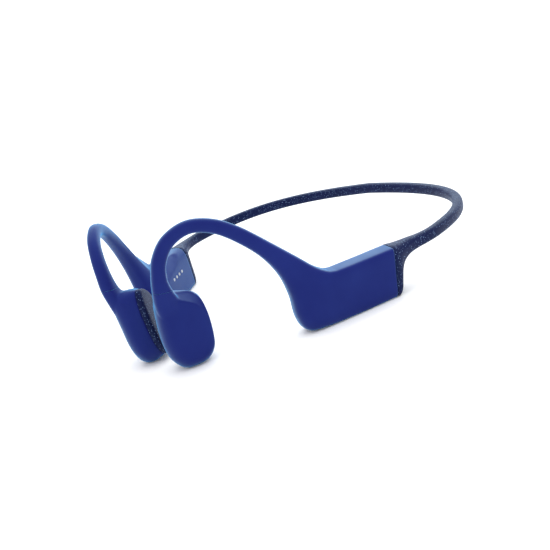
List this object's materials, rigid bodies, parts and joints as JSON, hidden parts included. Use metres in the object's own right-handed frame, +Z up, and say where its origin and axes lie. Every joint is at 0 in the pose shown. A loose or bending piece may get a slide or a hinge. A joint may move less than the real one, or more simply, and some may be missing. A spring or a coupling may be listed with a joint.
{
  "type": "bone conduction headphones",
  "caption": "Open-ear bone conduction headphones: vibrating cheek pods on ear hooks, two slim housings and a springy neckband behind the head.",
  "frame": {"origin": "on the surface it stands on, below the middle of the whole object", "axes": "+X the wearer's left, +Y towards the back of the head (the neckband), -Y forward (the pods), +Z up"},
  "size_m": [0.126, 0.1297, 0.0478],
  "materials": {
    "blue_silicone": "smooth satin silicone skin, saturated royal blue",
    "navy_silicone": "matt navy silicone with fine pale blue specks",
    "dark_plastic": "matt moulded plastic",
    "titanium": "drawn titanium spring wire",
    "steel": "pressed steel",
    "magnet": "nickel-plated magnet",
    "copper": "wound enamelled copper wire",
    "contact_metal": "pale plated metal",
    "lead_rubber": "thin rubber-covered lead",
    "circuit_board": "green circuit board with solder mask",
    "chip": "black chip package",
    "cell_foil": "silver foil pouch of a lithium cell"
  },
  "bodies": {
    "left_side": {"left_housing_skin": "blue_silicone", "left_housing_frame": "dark_plastic", "left_rear_plug": "dark_plastic", "battery": "cell_foil", "battery_board": "circuit_board", "left_neckband_sleeve": "navy_silicone", "left_neckband_wire": "titanium", "left_neckband_lead": "lead_rubber"},
    "left_hook": {"left_hook_skin": "blue_silicone", "left_hook_wire": "titanium", "left_hook_lead": "lead_rubber", "left_pod_shell": "blue_silicone", "left_pod_pad": "navy_silicone", "left_voice_coil": "copper", "left_spring_plate": "steel"},
    "left_magnet": {"left_transducer_cup": "steel", "left_transducer_magnet": "magnet"},
    "right_side": {"right_housing_skin": "blue_silicone", "right_housing_frame": "dark_plastic", "right_rear_plug": "dark_plastic", "main_board": "circuit_board", "memory_chip": "chip", "processor_chip": "chip", "button_strip": "circuit_board", "charging_contact_1": "contact_metal", "charging_contact_2": "contact_metal", "charging_contact_3": "contact_metal", "charging_contact_4": "contact_metal", "right_neckband_sleeve": "navy_silicone", "right_neckband_wire": "titanium", "right_neckband_lead": "lead_rubber"},
    "right_hook": {"right_hook_skin": "blue_silicone", "right_hook_wire": "titanium", "right_hook_lead": "lead_rubber", "right_pod_shell": "blue_silicone", "right_pod_pad": "navy_silicone", "right_voice_coil": "copper", "right_spring_plate": "steel"},
    "right_magnet": {"right_transducer_cup": "steel", "right_transducer_magnet": "magnet"},
    "volume_up": {"volume_up_button": "blue_silicone"},
    "volume_down": {"volume_down_button": "blue_silicone"},
    "mode": {"mode_button": "blue_silicone"},
    "track": {"track_button": "blue_silicone"}
  },
  "joints": [
    {"name": "band_flex", "type": "hinge", "parent": "left_side", "child": "right_side", "pos_m": [0, 0.06505, 0.0144], "axis": [0, 0, -1], "range_deg": [0, 36], "stiffness_Nm_per_rad": 0.15},
    {"name": "left_hook_flex", "type": "hinge", "parent": "left_side", "child": "left_hook", "pos_m": [0.03553, -0.04243, 0.03875], "axis": [0, 0, 1], "range_deg": [0, 12], "stiffness_Nm_per_rad": 0.1},
    {"name": "right_hook_flex", "type": "hinge", "parent": "right_side", "child": "right_hook", "pos_m": [-0.03553, -0.04243, 0.03875], "axis": [0, 0, -1], "range_deg": [0, 12], "stiffness_Nm_per_rad": 0.1},
    {"name": "left_magnet_slide", "type": "slide", "parent": "left_hook", "child": "left_magnet", "axis": [-0.8871, 0.4579, 0.0576], "range_m": [-0.00015, 0.00015], "stiffness_N_per_m": 1500},
    {"name": "right_magnet_slide", "type": "slide", "parent": "right_hook", "child": "right_magnet", "axis": [0.8871, 0.4579, 0.0576], "range_m": [-0.00015, 0.00015], "stiffness_N_per_m": 1500},
    {"name": "volume_up_press", "type": "slide", "parent": "right_side", "child": "volume_up", "axis": [0, 0, 1], "range_m": [0, 0.00035], "stiffness_N_per_m": 2000},
    {"name": "volume_down_press", "type": "slide", "parent": "right_side", "child": "volume_down", "axis": [0, 0, 1], "range_m": [0, 0.00035], "stiffness_N_per_m": 2000},
    {"name": "mode_press", "type": "slide", "parent": "right_side", "child": "mode", "axis": [0, 0, 1], "range_m": [0, 0.00035], "stiffness_N_per_m": 2000},
    {"name": "track_press", "type": "slide", "parent": "right_side", "child": "track", "axis": [0, 0, 1], "range_m": [0, 0.00035], "stiffness_N_per_m": 2000}
  ]
}
